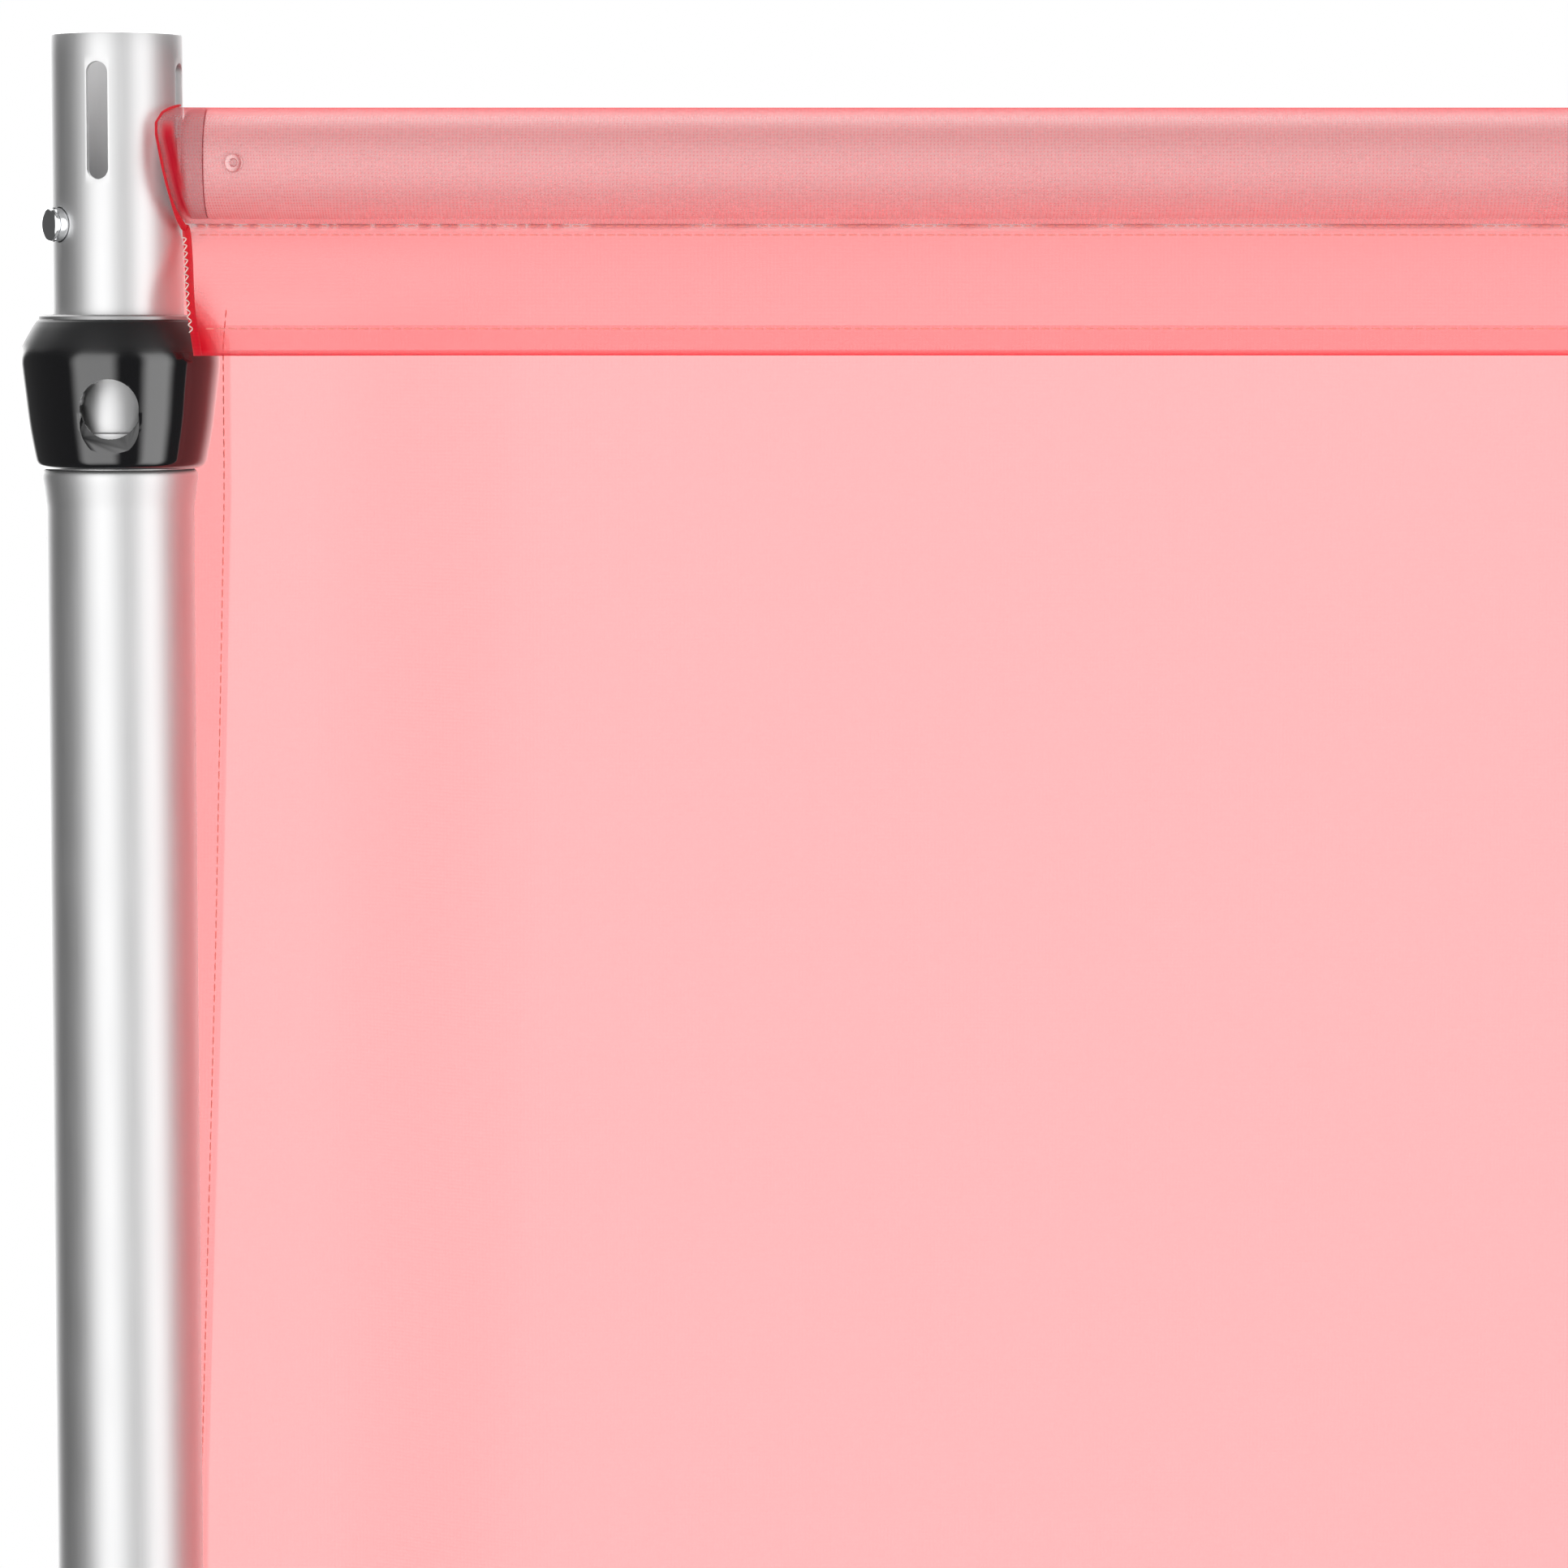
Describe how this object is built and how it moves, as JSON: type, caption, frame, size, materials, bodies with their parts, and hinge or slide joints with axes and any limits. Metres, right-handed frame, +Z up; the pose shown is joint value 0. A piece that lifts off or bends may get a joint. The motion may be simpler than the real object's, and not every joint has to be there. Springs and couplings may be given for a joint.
{
  "type": "pipe and drape backdrop frame",
  "caption": "Free-standing pipe-and-drape frame: telescopic aluminium uprights with locking collars on steel bases, and a telescopic crossbar carrying a flat sheer drape.",
  "frame": {"origin": "on the floor, midway between the two uprights and under their axes", "axes": "+X along the crossbar, from the left upright to the right one; -Y is the front of the drape; +Z up"},
  "size_m": [1.88, 0.406, 1.524],
  "materials": {
    "satin_aluminium": "satin anodised, fine grain along the tube",
    "black_gloss": "high gloss, smooth",
    "chrome": "polished",
    "zinc_steel": "bright zinc plated",
    "grey_nylon": "matt moulded",
    "black_powder_coat": "fine textured powder coat",
    "black_rubber": "matt",
    "coral_voile": "sheer plain weave voile"
  },
  "bodies": {
    "stand_left": {"base_plate_left": "black_powder_coat", "base_pin_left": "zinc_steel", "base_bolt_left": "zinc_steel", "foot_1_left": "black_rubber", "foot_2_left": "black_rubber", "foot_3_left": "black_rubber", "foot_4_left": "black_rubber", "lower_tube_left": "satin_aluminium"},
    "collar_left": {"collar_body_left": "black_gloss", "collar_ring_left": "satin_aluminium", "grip_ring_left": "grey_nylon"},
    "mast_left": {"upper_tube_left": "satin_aluminium", "tube_head_left": "satin_aluminium", "tube_foot_left": "grey_nylon", "button_spring_left": "zinc_steel", "hook_left": "zinc_steel", "hook_plug_left": "grey_nylon", "hook_rivet_left": "zinc_steel", "crossbar_tube": "satin_aluminium", "mouth_bushing": "grey_nylon", "drape": "coral_voile"},
    "button_left": {"snap_button_left": "chrome"},
    "stand_right": {"base_plate_right": "black_powder_coat", "base_pin_right": "zinc_steel", "base_bolt_right": "zinc_steel", "foot_1_right": "black_rubber", "foot_2_right": "black_rubber", "foot_3_right": "black_rubber", "foot_4_right": "black_rubber", "lower_tube_right": "satin_aluminium"},
    "collar_right": {"collar_body_right": "black_gloss", "collar_ring_right": "satin_aluminium", "grip_ring_right": "grey_nylon"},
    "mast_right": {"upper_tube_right": "satin_aluminium", "tube_head_right": "satin_aluminium", "tube_foot_right": "grey_nylon", "button_spring_right": "zinc_steel", "hook_right": "zinc_steel", "hook_plug_right": "grey_nylon", "hook_rivet_right": "zinc_steel", "slide_tube": "satin_aluminium", "slide_plug": "grey_nylon"},
    "button_right": {"snap_button_right": "chrome"}
  },
  "joints": [
    {"name": "width_slide", "type": "slide", "parent": "stand_left", "child": "stand_right", "axis": [1, 0, 0], "range_m": [-0.6, 0], "deforming": ["drape"]},
    {"name": "mast_raise_left", "type": "slide", "parent": "stand_left", "child": "mast_left", "axis": [0, 0, 1], "range_m": [0, 0.914]},
    {"name": "mast_raise_right", "type": "slide", "parent": "stand_right", "child": "mast_right", "axis": [0, 0, 1], "range_m": [0, 0.914]},
    {"name": "collar_lift_left", "type": "slide", "parent": "stand_left", "child": "collar_left", "axis": [0, 0, 1], "range_m": [0, 0.004]},
    {"name": "button_press_left", "type": "slide", "parent": "mast_left", "child": "button_left", "axis": [0.83, 0.5577, 0], "range_m": [0, 0.004], "stiffness_N_per_m": 1500, "deforming": ["button_spring_left"]},
    {"name": "collar_lift_right", "type": "slide", "parent": "stand_right", "child": "collar_right", "axis": [0, 0, 1], "range_m": [0, 0.004]},
    {"name": "button_press_right", "type": "slide", "parent": "mast_right", "child": "button_right", "axis": [-0.83, 0.5577, 0], "range_m": [0, 0.004], "stiffness_N_per_m": 1500, "deforming": ["button_spring_right"]}
  ],
  "couplings": [
    {"joint": "mast_raise_right", "follows": "mast_raise_left", "ratio": 1}
  ]
}
